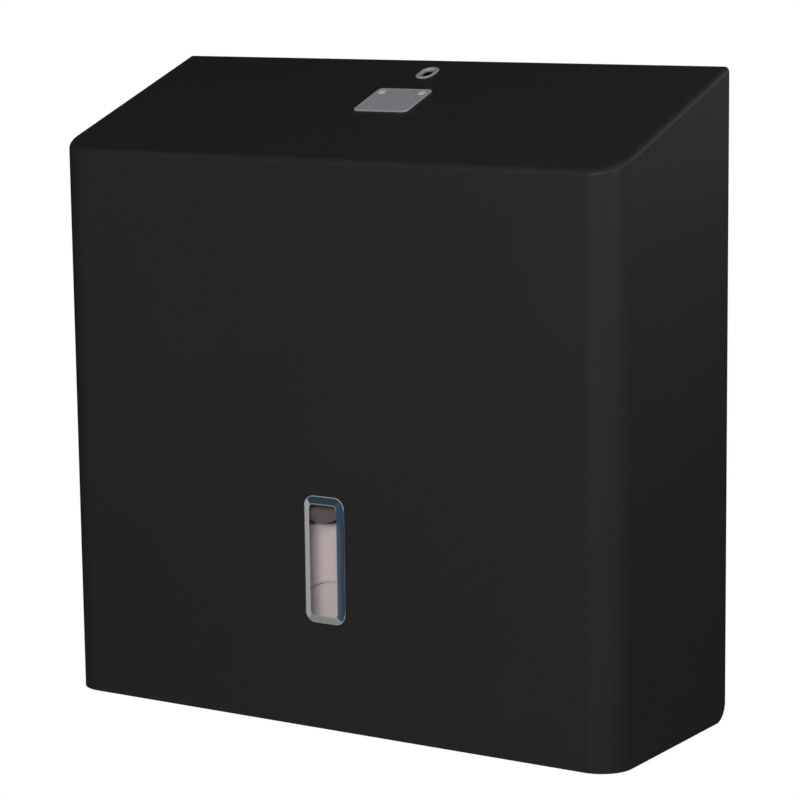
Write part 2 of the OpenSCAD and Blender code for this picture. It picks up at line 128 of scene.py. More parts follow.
def pick(piece, kind, test):
    bpy.ops.mesh.select_mode(type={"faces": "FACE", "edges": "EDGE", "verts": "VERT"}[kind])
    bpy.ops.mesh.select_all(action="DESELECT")
    mesh = bmesh.from_edit_mesh(piece.data)
    mesh.normal_update()
    found = [e for e in getattr(mesh, kind) if test(e)]
    for e in found:
        e.select_set(True)
    mesh.select_flush_mode()
    bmesh.update_edit_mesh(piece.data)
    return len(found)


def done(piece):
    bpy.ops.object.mode_set(mode="OBJECT")
    return piece


def settle(piece):
    only(piece)
    bpy.ops.object.transform_apply(location=True, rotation=True, scale=True)
    return piece


def place(piece, matrix):
    piece.matrix_world = matrix
    return settle(piece)


def modify(piece, kind, **values):
    only(piece)
    tool = piece.modifiers.new(kind.lower(), kind)
    for key, value in values.items():
        setattr(tool, key, value)
    bpy.ops.object.modifier_apply(modifier=tool.name)


def smooth(piece, angle=30):
    only(piece)
    bpy.ops.object.shade_smooth_by_angle(angle=math.radians(angle))
    modify(piece, "WEIGHTED_NORMAL", mode="FACE_AREA", weight=60, keep_sharp=True)


def middle(edge):
    return (edge.verts[0].co + edge.verts[1].co) / 2


def stands_for(piece, node, body):
    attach(piece, body)
    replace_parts(piece, node)
    print(piece.name, "for", node, "on", body, "with", len(piece.data.polygons), "faces")


# %% [markdown]
# ## A grain that many finishes share
# Coated steel, plated steel and moulded plastic all have a skin that is uneven at two scales: a fine
# grain that breaks up a highlight, and broad soft patches where tone and gloss change a little.
# One node group makes both, and each material places it with its own values.


# %% Node group for the grain
def socket(group, name, way, kind="NodeSocketFloat", value=None):
    made = group.interface.new_socket(name=name, in_out=way, socket_type=kind)
    if value is not None:
        made.default_value = value


def grain_group():
    group = bpy.data.node_groups.new("fine_grain", "ShaderNodeTree")
    socket(group, "Vector", "INPUT", "NodeSocketVector")
    socket(group, "Fine Scale", "INPUT", value=2000)
    socket(group, "Patch Scale", "INPUT", value=30)
    socket(group, "Height", "OUTPUT")
    socket(group, "Patches", "OUTPUT")
    new, link = group.nodes.new, group.links.new
    came, went = new("NodeGroupInput"), new("NodeGroupOutput")
    fine, broad = new("ShaderNodeTexNoise"), new("ShaderNodeTexNoise")
    fine.inputs["Detail"].default_value = 3
    broad.inputs["Detail"].default_value = 5
    broad.inputs["Roughness"].default_value = 0.6
    for texture, scale in ((fine, "Fine Scale"), (broad, "Patch Scale")):
        link(came.outputs["Vector"], texture.inputs["Vector"])
        link(came.outputs[scale], texture.inputs["Scale"])
    link(fine.outputs["Fac"], went.inputs["Height"])
    link(broad.outputs["Fac"], went.inputs["Patches"])
    return group


GRAIN = grain_group()


# %% A finish made from the grain
def finish(name, dark, light, rough, fine_scale, patch_scale, bump, spread=0.08, metallic=0.0,
           stretch=(1, 1, 1), specular=0.5):
    material = bpy.data.materials.new(name)
    material.use_nodes = True
    nt = material.node_tree
    new, link = nt.nodes.new, nt.links.new
    skin = nt.nodes["Principled BSDF"]
    where, turn = new("ShaderNodeTexCoord"), new("ShaderNodeMapping")
    turn.inputs["Scale"].default_value = stretch
    grain = new("ShaderNodeGroup")
    grain.node_tree = GRAIN
    grain.name = "grain"
    grain.inputs["Fine Scale"].default_value = fine_scale
    grain.inputs["Patch Scale"].default_value = patch_scale
    link(where.outputs["Object"], turn.inputs["Vector"])
    link(turn.outputs["Vector"], grain.inputs["Vector"])
    tone = new("ShaderNodeMix")
    tone.name = "tone"
    tone.data_type = "RGBA"
    tone.inputs["A"].default_value = (*dark, 1)
    tone.inputs["B"].default_value = (*light, 1)
    link(grain.outputs["Patches"], tone.inputs["Factor"])
    link(tone.outputs["Result"], skin.inputs["Base Color"])
    worn = new("ShaderNodeMapRange")
    worn.inputs["To Min"].default_value = rough - spread
    worn.inputs["To Max"].default_value = rough + spread
    link(grain.outputs["Patches"], worn.inputs["Value"])
    link(worn.outputs["Result"], skin.inputs["Roughness"])
    relief = new("ShaderNodeBump")
    relief.inputs["Strength"].default_value = bump
    relief.inputs["Distance"].default_value = 0.0001
    link(grain.outputs["Height"], relief.inputs["Height"])
    link(relief.outputs["Normal"], skin.inputs["Normal"])
    skin.inputs["Metallic"].default_value = metallic
    skin.inputs["Specular IOR Level"].default_value = specular
    return material


black_coat = finish("black_powder_coat", (0.028, 0.028, 0.028), (0.032, 0.032, 0.032), 0.42,
                    2600, 14, 0.10, 0.03, specular=0.14)
print("finish", black_coat.name)

# %% [markdown]
# ## The hood
# The real hood is one folded and welded sheet. It could be traced point by point, but a box is
# closer to how it is made: the box is cut along the slope, its two upright front corners are
# rounded to 16 mm, the rim of the roof gets a small fold radius that runs round the corners
# without a break, and then the bottom and the back are taken away and the skin gets its thickness.

# %% Sizes shared by the hood and its fittings
low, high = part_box("cover_shell")
WIDE, DEEP, TALL = high.x - low.x, high.y - low.y, high.z - low.z
DROP = 40.4 * MM
SLOPE = math.atan(DROP / DEEP)
CORNER, EDGE, SHEET = 16 * MM, 2.5 * MM, 1 * MM
HINGE_ROUND, HEM, HEM_IN, HEM_STOP = 9 * MM, 8 * MM, 2.05 * MM, 28 * MM
HEM_FROM = high.y - HEM_STOP
NEAR = 0.01 * MM
roof_rear = Vector((0, high.y, high.z))
roof_down = Vector((0, -math.cos(SLOPE), -math.sin(SLOPE)))
roof_out = Vector((0, -math.sin(SLOPE), math.cos(SLOPE)))
roof_place = Matrix.Translation(roof_rear) @ Matrix.Rotation(SLOPE, 4, "X")
print("hood", round(WIDE / MM), "x", round(DEEP / MM), "x", round(TALL / MM), "mm, roof slope",
      round(math.degrees(SLOPE), 2))

# %% Hood: a box cut along the slope, with round upright corners
hood = start("hood", bpy.ops.mesh.primitive_cube_add, size=1, location=(low + high) / 2)
hood.scale = (WIDE, DEEP, TALL)
settle(hood)
shape(hood)
bpy.ops.mesh.select_all(action="SELECT")
bpy.ops.mesh.bisect(plane_co=roof_rear, plane_no=roof_out, use_fill=True, clear_outer=True)
uprights = pick(hood, "edges", lambda e: abs(e.verts[0].co.z - e.verts[1].co.z) > 0.2
                and middle(e).y < low.y + 0.001)
bpy.ops.mesh.bevel(offset=CORNER, segments=18, profile=0.5, affect="EDGES")
print("rounded", uprights, "upright corners")

# %% Hood: fold radius round the rim of the roof
rim = pick(hood, "edges", lambda e: len(e.link_faces) == 2
           and any(f.normal.dot(roof_out) > 0.999 for f in e.link_faces)
           and not any(f.normal.y > 0.99 for f in e.link_faces))
bpy.ops.mesh.bevel(offset=EDGE, segments=5, profile=0.5, affect="EDGES", clamp_overlap=False)
pick(hood, "faces", lambda f: f.normal.y > 0.99 or f.normal.z < -0.99)
bpy.ops.mesh.delete(type="FACE")
print("rim edges folded:", rim)

# %% Hood: lower rear corners round the hinge, and the hem along the bottom
corners = pick(hood, "verts", lambda v: v.co.y > high.y - NEAR and v.co.z < low.z + NEAR)
bpy.ops.mesh.bevel(offset=HINGE_ROUND, segments=10, profile=0.5, affect="VERTICES")
bpy.ops.mesh.select_all(action="SELECT")
bpy.ops.mesh.bisect(plane_co=(0, HEM_FROM, 0), plane_no=(0, 1, 0))
hem = pick(hood, "edges", lambda e: e.is_boundary and middle(e).y < HEM_FROM
           and all(abs(v.co.z - low.z) < NEAR for v in e.verts))
bpy.ops.mesh.extrude_edges_move(TRANSFORM_OT_translate={"value": (0, 0, 0)})
fold = bmesh.from_edit_mesh(hood.data)
flat = WIDE / 2 - CORNER
for v in (v for v in fold.verts if v.select):
    inner = Vector((max(-flat, min(flat, v.co.x)), max(low.y + CORNER, v.co.y), v.co.z))
    v.co += (inner - v.co).normalized() * HEM_IN
bmesh.update_edit_mesh(hood.data)
bpy.ops.mesh.extrude_edges_move(TRANSFORM_OT_translate={"value": (0, 0, HEM)})
bpy.ops.mesh.select_all(action="SELECT")
bpy.ops.mesh.normals_make_consistent(inside=False)
done(hood)
print("rear corners", corners, "hem edges", hem)

# %% [markdown]
# The skin now gets its one millimetre of steel on the inside. The window and the keyhole are cut
# with plain cutters, because a boolean gives a clean edge through both faces of the sheet. A very
# fine bevel on the cut edges lets them catch the light as real sheet does.


# %% Hood: sheet thickness
def rounded_block(name, wide, tall, thick, radius, segments=8):
    block = start(name, bpy.ops.mesh.primitive_cube_add, size=1)
    block.scale = (wide, tall, thick)
    settle(block)
    shape(block)
    pick(block, "edges", lambda e: abs(e.verts[0].co.z - e.verts[1].co.z) > thick / 2)
    bpy.ops.mesh.bevel(offset=radius, segments=segments, profile=0.5, affect="EDGES")
    return done(block)


modify(hood, "SOLIDIFY", thickness=SHEET, offset=-1, use_even_offset=True, use_rim=True)
shape(hood)
skin_mesh = bmesh.from_edit_mesh(hood.data)
for v in (v for v in skin_mesh.verts if v.co.y > high.y + 1e-6):
    v.co += roof_down * (v.co.y - high.y) / math.cos(SLOPE)
bmesh.update_edit_mesh(hood.data)
done(hood)

# %% Hood: window, keyhole and rivet holes
TAG_W, TAG_L, TAG_DOWN = 31 * MM, 26.8 * MM, 36.5 * MM
KEY_DOWN, KEY_W, KEY_L, KEY_ROUND = 16.1 * MM, 8.3 * MM, 12.7 * MM, 4.1 * MM
WINDOW_W, WINDOW_H, WINDOW_ROUND = 18.8 * MM, 58.2 * MM, 3.5 * MM
RIVET_HOLE, RIVET_ROUND, CUT_DEEP = 2.6 * MM, 1.29 * MM, 8 * MM
RIVETS = [(side * (TAG_W / 2 - 4 * MM), -TAG_DOWN - 4.7 * MM) for side in (-1, 1)]
lens_low, lens_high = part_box("window_lens")
lens_place = (Matrix.Translation((0, low.y, (lens_low.z + lens_high.z) / 2))
              @ Matrix.Rotation(math.radians(90), 4, "X"))


def cut(piece, cutter, matrix):
    place(cutter, matrix)
    modify(piece, "BOOLEAN", object=cutter, operation="DIFFERENCE", solver="EXACT")
    bpy.data.objects.remove(cutter)


def cut_rivet_holes(piece):
    for x, y in RIVETS:
        block = rounded_block("rivet_cutter", RIVET_HOLE, RIVET_HOLE, CUT_DEEP, RIVET_ROUND, 6)
        cut(piece, block, roof_place @ Matrix.Translation((x, y, 0)))


cut(hood, rounded_block("window_cutter", WINDOW_W, WINDOW_H, 12 * MM, WINDOW_ROUND), lens_place)
cut(hood, rounded_block("keyhole_cutter", KEY_W, KEY_L, CUT_DEEP, KEY_ROUND, 12),
    roof_place @ Matrix.Translation((0, -KEY_DOWN, 0)))
cut_rivet_holes(hood)
modify(hood, "BEVEL", width=0.2 * MM, segments=2, limit_method="ANGLE",
       angle_limit=math.radians(50), use_clamp_overlap=True)
smooth(hood, 28)
hood.data.materials.append(black_coat)
stands_for(hood, "cover_shell", "cover")

# %% [markdown]
# ## The window lens
# The lens is a clear moulded block with a flat pane, a wide bevel all round and a thin lip on the
# sheet. Its front face is inset three times, so the lip, the bevel and the pane come from one closed
# mesh. Light and shade are painted on it by face: the bevels that face up and to the right are
# painted dark navy as painted shade, the bevels that face left and down are painted light grey as
# a painted reflection, and the arrises are painted pale as a painted highlight. Only the blue hue is
# the plastic's own tint. The pane stays clear and lets the lamps shine on what is behind it.


# %% Tints of the lens, with painted shade, painted reflection and painted highlight on the bevels
def acrylic(name, tint, clear, rough):
    material = bpy.data.materials.new(name)
    material.use_nodes = True
    nt = material.node_tree
    skin = nt.nodes["Principled BSDF"]
    skin.inputs["Base Color"].default_value = (*tint, 1)
    skin.inputs["Roughness"].default_value = rough
    skin.inputs["IOR"].default_value = 1.49
    skin.inputs["Transmission Weight"].default_value = clear
    if clear == 1:
        ray, blend = nt.nodes.new("ShaderNodeLightPath"), nt.nodes.new("ShaderNodeMixShader")
        through = nt.nodes.new("ShaderNodeBsdfTransparent")
        through.inputs["Color"].default_value = (*tint, 1)
        nt.links.new(ray.outputs["Is Shadow Ray"], blend.inputs["Fac"])
        nt.links.new(skin.outputs["BSDF"], blend.inputs[1])
        nt.links.new(through.outputs["BSDF"], blend.inputs[2])
        nt.links.new(blend.outputs["Shader"], nt.nodes["Material Output"].inputs["Surface"])
    return material


pane_clear = acrylic("acrylic_pane", (0.84, 0.80, 0.797), 1, 0.015)
# Painted shade on the right and top bevels, painted reflection on the left and bottom bevels, painted
# highlight on the arrises; only the blue hue is the plastic's own tint.
painted_bevel_tones = {
    "right": acrylic("acrylic_right_bevel_painted_shade", (0.058, 0.116, 0.188), 0.2, 0.12),
    "top": acrylic("acrylic_top_bevel_painted_shade", (0.046, 0.092, 0.130), 0.2, 0.12),
    "left": acrylic("acrylic_left_bevel_painted_reflection", (0.78, 0.775, 0.80), 0.1, 0.12),
    "bottom": acrylic("acrylic_bottom_bevel_painted_reflection", (0.49, 0.51, 0.505), 0.1, 0.12),
    "arris": acrylic("acrylic_arris_painted_highlight", (0.60, 0.61, 0.63), 0.1, 0.2),
}

# %% Window lens
LENS_W, LENS_H = lens_high.x - lens_low.x, lens_high.z - lens_low.z
LENS_RISE = low.y - lens_low.y
LENS_ROUND, LIP, LIP_W, BEVEL_W, ARRIS_W = 5.5 * MM, 0.4 * MM, 0.35 * MM, 3.25 * MM, 0.3 * MM
PLUG_IN = 2.2 * MM
painted_tone_slot = {name: slot for slot, name in enumerate(painted_bevel_tones, 1)}
lens = rounded_block("lens", LENS_W, LENS_H, LIP, LENS_ROUND, 10)
for material in (pane_clear, *painted_bevel_tones.values()):
    lens.data.materials.append(material)
shape(lens)
pick(lens, "faces", lambda f: f.normal.z > 0.9)
bpy.ops.mesh.inset(thickness=LIP_W, depth=0)
bpy.ops.mesh.inset(thickness=BEVEL_W, depth=LENS_RISE - LIP)
bpy.ops.mesh.inset(thickness=ARRIS_W, depth=0)
mould = bmesh.from_edit_mesh(lens.data)
mould.normal_update()
# Faces take painted light and shade by their direction: right and top bevels the dark painted shade,
# left and bottom bevels the light painted reflection, side walls and small rings the pale painted
# highlight.
for face in mould.faces:
    x, y, z = face.normal
    if abs(z) < 0.1 or (z > 0.99 and face.calc_area() < 1e-5):
        face.material_index = painted_tone_slot["arris"]
    elif 0.5 < z < 0.99:
        if x + y > 0:
            face.material_index = painted_tone_slot["right" if x > y else "top"]
        else:
            face.material_index = painted_tone_slot["left" if x < y else "bottom"]
bmesh.update_edit_mesh(lens.data)
pick(lens, "faces", lambda f: f.normal.z < -0.9)
bpy.ops.mesh.inset(thickness=PLUG_IN, depth=0)
bpy.ops.mesh.extrude_region_move(TRANSFORM_OT_translate={"value": (0, 0, -SHEET)})
done(lens)
place(lens, lens_place @ Matrix.Translation((0, 0, LIP / 2)))
modify(lens, "BEVEL", width=0.12 * MM, segments=2, limit_method="ANGLE",
       angle_limit=math.radians(12))
smooth(lens, 30)
stands_for(lens, "window_lens", "cover")

# %% [markdown]
# ## Name plate
# The plate is a small stamped metal tag with rounded corners, held by two rivets near its rear
# edge. It is left bare: a pressed border line and the satin metal are all that it carries.

# %% Name plate
satin = finish("satin_plate", (0.52, 0.525, 0.565), (0.60, 0.605, 0.645), 0.42, 900, 40, 0.12, 0.05,
               0.2, (1, 14, 1))
TAG_T, TAG_ROUND = 0.6 * MM, 2.6 * MM
tag = rounded_block("tag", TAG_W, TAG_L, TAG_T, TAG_ROUND, 6)
shape(tag)
pick(tag, "faces", lambda f: f.normal.z > 0.9)
bpy.ops.mesh.inset(thickness=0.5 * MM, depth=0.2 * MM)
bpy.ops.mesh.inset(thickness=0.8 * MM, depth=0)
bpy.ops.mesh.inset(thickness=0.25 * MM, depth=-0.12 * MM)
done(tag)
place(tag, roof_place @ Matrix.Translation((0, -TAG_DOWN - TAG_L / 2, TAG_T / 2)))
cut_rivet_holes(tag)
modify(tag, "BEVEL", width=0.08 * MM, segments=2, limit_method="ANGLE",
       angle_limit=math.radians(25))
smooth(tag, 30)
tag.data.materials.append(satin)
stands_for(tag, "nameplate", "cover")

# %% [markdown]
# ## Keyhole grommet
# A grey plastic ring lines the oval keyhole. A disc is pulled into an oval by moving its two halves
# apart, inset and pushed through for the lip and the throat, and the neck below the sheet is
# joined to the throat by a bridge. One subdivision surface makes the lip soft.

# %% Keyhole grommet
grey = finish("grey_plastic", (0.40, 0.40, 0.40), (0.45, 0.45, 0.45), 0.45, 2200, 80, 0.2, 0.06)
NECK, RING_R, RING_PULL = 1.25 * MM, 5.15 * MM, 1.9 * MM
LIP_STEPS = ((0.6, 0.35), (0.95, 0.05), (0.35, -0.25), (0.2, -0.6))
grommet = start("grommet", bpy.ops.mesh.primitive_circle_add, vertices=40, radius=RING_R,
                fill_type="NGON")
shape(grommet)
for side in (1, -1):
    pick(grommet, "verts", lambda v: v.co.y * side > 1e-6)
    bpy.ops.transform.translate(value=(0, side * RING_PULL, 0))
pick(grommet, "faces", lambda f: True)
bpy.ops.mesh.extrude_region_move(TRANSFORM_OT_translate={"value": (0, 0, 0.45 * MM)})
for thick, rise in LIP_STEPS:
    bpy.ops.mesh.inset(thickness=thick * MM, depth=rise * MM)
bpy.ops.mesh.extrude_region_move(TRANSFORM_OT_translate={"value": (0, 0, -NECK - 0.25 * MM)})
bpy.ops.mesh.delete(type="ONLY_FACE")
pick(grommet, "faces", lambda f: f.normal.z < -0.9)
bpy.ops.mesh.inset(thickness=1.4 * MM, depth=0)
bpy.ops.mesh.extrude_region_move(TRANSFORM_OT_translate={"value": (0, 0, -NECK)})
bpy.ops.mesh.delete(type="ONLY_FACE")
pick(grommet, "edges", lambda e: e.is_boundary)
bpy.ops.mesh.bridge_edge_loops()
bpy.ops.mesh.select_all(action="SELECT")
bpy.ops.mesh.normals_make_consistent(inside=False)
done(grommet)
modify(grommet, "SUBSURF", levels=1, render_levels=1)
place(grommet, roof_place @ Matrix.Translation((0, -KEY_DOWN, 0.02 * MM)))
smooth(grommet, 60)
grommet.data.materials.append(grey)
stands_for(grommet, "keyhole_grommet", "cover")

# %% [markdown]
# ## Tissue
# The outer sheet is embossed with a regular grid of dots, drawn in a UV map that follows the
# winding. The ends show the edges of the layers as fine rings that wander slightly, because no roll
# is wound with a constant pull. One function makes both, since only the pattern differs.


# %% Tissue material
DOT_PITCH, LAYER_PITCH, WANDER = 4.2 * MM, 0.75 * MM, 1.2 * MM


def math_node(nt, operation, first, second=None, third=None):
    node = nt.nodes.new("ShaderNodeMath")
    node.operation = operation
    for slot, value in enumerate((first, second, third)):
        if isinstance(value, (int, float)):
            node.inputs[slot].default_value = value
        elif value is not None:
            nt.links.new(value, node.inputs[slot])
    return node.outputs[0]


def tissue(name, rings, dark, light):
    material = bpy.data.materials.new(name)
    material.use_nodes = True
    nt = material.node_tree
    new, link = nt.nodes.new, nt.links.new
    skin = nt.nodes["Principled BSDF"]
    uv, split = new("ShaderNodeUVMap"), new("ShaderNodeSeparateXYZ")
    where = new("ShaderNodeTexCoord")
    uv.uv_map = "wound"
    link(uv.outputs["UV"], split.inputs["Vector"])
    fibre, drift = new("ShaderNodeTexNoise"), new("ShaderNodeTexNoise")
    for texture, scale in ((fibre, 700), (drift, 60)):
        texture.inputs["Scale"].default_value = scale
        texture.inputs["Detail"].default_value = 4
        link(where.outputs["Object"], texture.inputs["Vector"])
    if rings:
        wander = math_node(nt, "MULTIPLY_ADD", drift.outputs["Fac"], WANDER, split.outputs["Y"])
        turns = math_node(nt, "MULTIPLY", wander, 2 * math.pi / LAYER_PITCH)
        pattern = math_node(nt, "SINE", turns)
    else:
        waves = []
        for axis in ("X", "Y"):
            turns = math_node(nt, "MULTIPLY", split.outputs[axis], 2 * math.pi / DOT_PITCH)
            waves.append(math_node(nt, "COSINE", turns))
        pattern = math_node(nt, "MULTIPLY", *waves)
    height = math_node(nt, "ADD", pattern, fibre.outputs["Fac"])
    tone, spread = new("ShaderNodeMix"), new("ShaderNodeMapRange")
    tone.data_type = "RGBA"
    tone.inputs["A"].default_value = (*dark, 1)
    tone.inputs["B"].default_value = (*light, 1)
    spread.inputs["From Min"].default_value = -0.6
    spread.inputs["From Max"].default_value = 1.6
    link(height, spread.inputs["Value"])
    link(spread.outputs["Result"], tone.inputs["Factor"])
    link(tone.outputs["Result"], skin.inputs["Base Color"])
    relief = new("ShaderNodeBump")
    relief.inputs["Strength"].default_value = 0.2 if rings else 0.5
    relief.inputs["Distance"].default_value = 0.0002
    link(height, relief.inputs["Height"])
    link(relief.outputs["Normal"], skin.inputs["Normal"])
    skin.inputs["Roughness"].default_value = 0.9
    skin.inputs["Specular IOR Level"].default_value = 0.15
    return material


sheet_paper = tissue("tissue_sheet", False, (0.82, 0.795, 0.785), (0.88, 0.855, 0.845))
end_paper = tissue("tissue_layers", True, (0.80, 0.765, 0.76), (0.84, 0.805, 0.80))

# %% [markdown]
# ## Toilet rolls
# A roll is wound tissue: soft round edges, layers that stand a little higher or lower at the ends,
# and a loose end that lies on the roll. A closed half-section is spun round the axis, each copy is
# pressed very slightly out of round, and a thin bent strip is joined on as the loose end.

# %% Toilet roll, modelled once on its own axis
roll_low, roll_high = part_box("paper_roll_top")
ROLL_R, ROLL_L, CORE_R = 50 * MM, roll_high.y - roll_low.y, 21.55 * MM
ROLL_GAP = 6 * MM
PITCH = (2 * ROLL_R + ROLL_GAP) / math.sqrt(2)
SOFT = 1.3 * MM


def half_section():
    steps = 14
    end = [(CORE_R + (ROLL_R - SOFT - CORE_R) * i / steps, 0.12 * MM * (1 + math.sin(i * 2.4)))
           for i in range(steps)]
    turn = [(ROLL_R - SOFT + SOFT * math.sin(a), SOFT - SOFT * math.cos(a))
            for a in (math.radians(d) for d in (0, 18, 36, 54, 72, 90))]
    half = end + turn + [(ROLL_R - 0.1 * MM, ROLL_L * f) for f in (0.12, 0.3)]
    return half + [(ROLL_R - 0.15 * MM, ROLL_L / 2)] + [(r, ROLL_L - y) for r, y in reversed(half)]


def unroll(piece, x=0.0, z=0.0):
    layer = piece.data.uv_layers.active or piece.data.uv_layers.new()
    layer.name = "wound"
    points = [(v.co.x - x, v.co.y, v.co.z - z) for v in piece.data.vertices]
    for face in piece.data.polygons:
        side = abs(face.normal.y) < 0.7
        turn = [math.atan2(points[v][2], points[v][0]) for v in face.vertices]
        if max(turn) - min(turn) > math.pi:
            turn = [t + 2 * math.pi if t < 0 else t for t in turn]
        for loop, v, t in zip(face.loop_indices, face.vertices, turn):
            across = points[v][1] if side else math.hypot(points[v][0], points[v][2])
            layer.data[loop].uv = (t * ROLL_R, across)
        face.material_index = 0 if side else min(1, len(piece.data.materials) - 1)


section = half_section()
model_roll = start("model_roll", bpy.ops.mesh.primitive_circle_add, vertices=len(section), radius=1)
for v, (r, y) in zip(model_roll.data.vertices, section):
    v.co = (r, y, 0)
shape(model_roll)
bpy.ops.mesh.select_all(action="SELECT")
bpy.ops.mesh.spin(steps=120, angle=2 * math.pi, center=(0, 0, 0), axis=(0, 1, 0))
bpy.ops.mesh.select_all(action="SELECT")
bpy.ops.mesh.remove_doubles(threshold=1e-6)
bpy.ops.mesh.normals_make_consistent(inside=False)
done(model_roll)
print("roll section", len(section), "points, faces", len(model_roll.data.polygons))


# %% Loose end of the paper, a strip that hugs the roll and ends in a torn edge
LOOSE_SWEEP, LOOSE_MARGIN, TISSUE_T = math.radians(40), 2.3 * MM, 0.14 * MM


def loose_end(begin, sweep):
    strip = start("loose_end", bpy.ops.mesh.primitive_grid_add, x_subdivisions=40,
                  y_subdivisions=60, size=1)
    half = ROLL_L / 2 - LOOSE_MARGIN
    for v in strip.data.vertices:
        along, across = v.co.x + 0.5, v.co.y * 2
        tear = 0.5 * MM * (round(across * 30) % 2) if along > 0.999 else 0
        lift = 0.06 * MM + 1.4 * MM * max(0.0, along - 0.6) ** 2
        r = ROLL_R + lift + 0.05 * MM * math.sin(across * 9 + along * 7) * along
        a = begin + sweep * along - tear / ROLL_R
        v.co = (r * math.cos(a), ROLL_L / 2 + half * across, r * math.sin(a))
    modify(strip, "SOLIDIFY", thickness=TISSUE_T, offset=0)
    shape(strip)
    bpy.ops.mesh.select_all(action="SELECT")
    bpy.ops.mesh.normals_make_consistent(inside=False)
    return done(strip)


# %% Four rolls on their stations
stations = {
    "bottom": (0, -PITCH, -60),
    "right": (PITCH, 0, -20),
    "top": (0, PITCH, 20),
    "left": (-PITCH, 0, 150),
}
for spot, (x, z, loose_at) in stations.items():
    paper = bpy.data.objects.new("toilet_roll_" + spot, model_roll.data.copy())
    bpy.context.scene.collection.objects.link(paper)
    for v in paper.data.vertices:
        a, r = math.atan2(v.co.z, v.co.x), math.hypot(v.co.x, v.co.z)
        press = 1 - 0.003 * max(0, r - 30 * MM) / (20 * MM) * (1 + math.cos(2 * a - loose_at))
        v.co.x, v.co.z = v.co.x * press, v.co.z * press
    strip = loose_end(math.radians(loose_at), LOOSE_SWEEP)
    for piece in (paper, strip):
        piece.data.materials.append(sheet_paper)
        piece.data.materials.append(end_paper)
        unroll(piece)
    only(paper)
    strip.select_set(True)
    bpy.ops.object.join()
    place(paper, Matrix.Translation((x, roll_low.y, z)))
    smooth(paper, 50)
    stands_for(paper, "paper_roll_" + spot, "roll_" + spot)
bpy.data.objects.remove(model_roll)

# %% [markdown]
# ## Hub knob
# A dark plastic knob with four lobes closes the hub and turns the magazine. Its lowest lobe
# shows at the top of the window. A disc gets its outline from the four lobes, is raised to its
# thickness, dished for the fingers and rounded at the rims. A collar below it plugs into the hub.

# %% Hub knob
charcoal = finish("charcoal_plastic", (0.128, 0.125, 0.125), (0.152, 0.149, 0.149), 0.5,
                  2400, 70, 0.3, 0.06)
knob_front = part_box("hub_knob")[0].y
KNOB_R, LOBE_R, KNOB_T, KNOB_TURN = 25.6 * MM, 17.6 * MM, 4.6 * MM, math.radians(-25)
COLLAR_R, COLLAR_L, COLLAR_WALL, COLLAR_HOLLOW = 18.92 * MM, 3.4 * MM, 2.92 * MM, 3.2 * MM


def lobe_reach(a):
    a = (a - KNOB_TURN + math.pi / 4) % (math.pi / 2) - math.pi / 4
    c = KNOB_R - LOBE_R
    return c * math.cos(a) + math.sqrt(LOBE_R ** 2 - (c * math.sin(a)) ** 2)


knob = start("knob", bpy.ops.mesh.primitive_circle_add, vertices=144, radius=1, fill_type="NGON")
for v in knob.data.vertices:
    a = math.atan2(v.co.y, v.co.x)
    v.co = v.co.normalized() * lobe_reach(a)
shape(knob)
pick(knob, "faces", lambda f: True)
bpy.ops.mesh.extrude_region_move(TRANSFORM_OT_translate={"value": (0, 0, KNOB_T)})
bpy.ops.mesh.inset(thickness=4 * MM, depth=0)
bpy.ops.mesh.inset(thickness=3 * MM, depth=-0.8 * MM)
bpy.ops.mesh.select_all(action="SELECT")
bpy.ops.mesh.normals_make_consistent(inside=False)
done(knob)
collar = start("collar", bpy.ops.mesh.primitive_cylinder_add, vertices=96, radius=COLLAR_R,
               depth=COLLAR_L, location=(0, 0, -1.5 * MM))
shape(collar)
pick(collar, "faces", lambda f: f.normal.z < -0.9)
bpy.ops.mesh.inset(thickness=COLLAR_WALL, depth=0)
bpy.ops.mesh.extrude_region_move(TRANSFORM_OT_translate={"value": (0, 0, COLLAR_HOLLOW)})
done(collar)
settle(collar)
modify(knob, "BOOLEAN", object=collar, operation="UNION", solver="EXACT")
bpy.data.objects.remove(collar)
place(knob, Matrix.Translation((0, knob_front + KNOB_T, 0))
      @ Matrix.Rotation(math.radians(90), 4, "X"))
modify(knob, "BEVEL", width=0.5 * MM, segments=3, limit_method="ANGLE",
       angle_limit=math.radians(40))
smooth(knob, 30)
knob.data.materials.append(charcoal)
stands_for(knob, "hub_knob", "carousel")

# %% [markdown]
# ## The other solids
# The plate, the magazine, the hinge, the lock and the fasteners have the right shape already, but a
# solid's mesh is loose triangles with dead sharp edges. A copy of each is merged, its flat
# triangles are dissolved into whole faces, and a fine bevel breaks the edges, as a deburred
# part has them. The copy then stands for the solid. Two finishes get one more mark: zinc on sheet
# steel sets in small crystals, each with its own tone, and a core of board is wound from a strip, so
# a spiral seam runs round it. The lock gets a blackened finish made darker than the black coat, so
# that it also stands as painted shade inside the keyhole.

# %% Finishes of the metal, plastic and board pieces
zinc = finish("zinc_plated_sheet", (0.50, 0.51, 0.52), (0.66, 0.67, 0.68),
              0.64, 900, 160, 0.10, 0.06, 0.9)
turned = finish("turned_steel", (0.55, 0.55, 0.56), (0.66, 0.66, 0.67),
                0.30, 1800, 60, 0.12, 0.06, 0.95)
spring = finish("spring_steel", (0.20, 0.21, 0.24), (0.30, 0.31, 0.34),
                0.34, 1500, 90, 0.10, 0.06, 0.9)
rivet = finish("rivet_aluminium", (0.82, 0.82, 0.83), (0.91, 0.91, 0.92),
               0.42, 2500, 120, 0.15, 0.06, 0.35)
ivory = finish("white_plastic", (0.74, 0.73, 0.715), (0.82, 0.81, 0.795),
               0.42, 2000, 50, 0.15, 0.06)
board = finish("core_board", (0.68, 0.655, 0.635), (0.78, 0.755, 0.735),
               0.85, 1200, 220, 0.4, 0.05, specular=0.2)


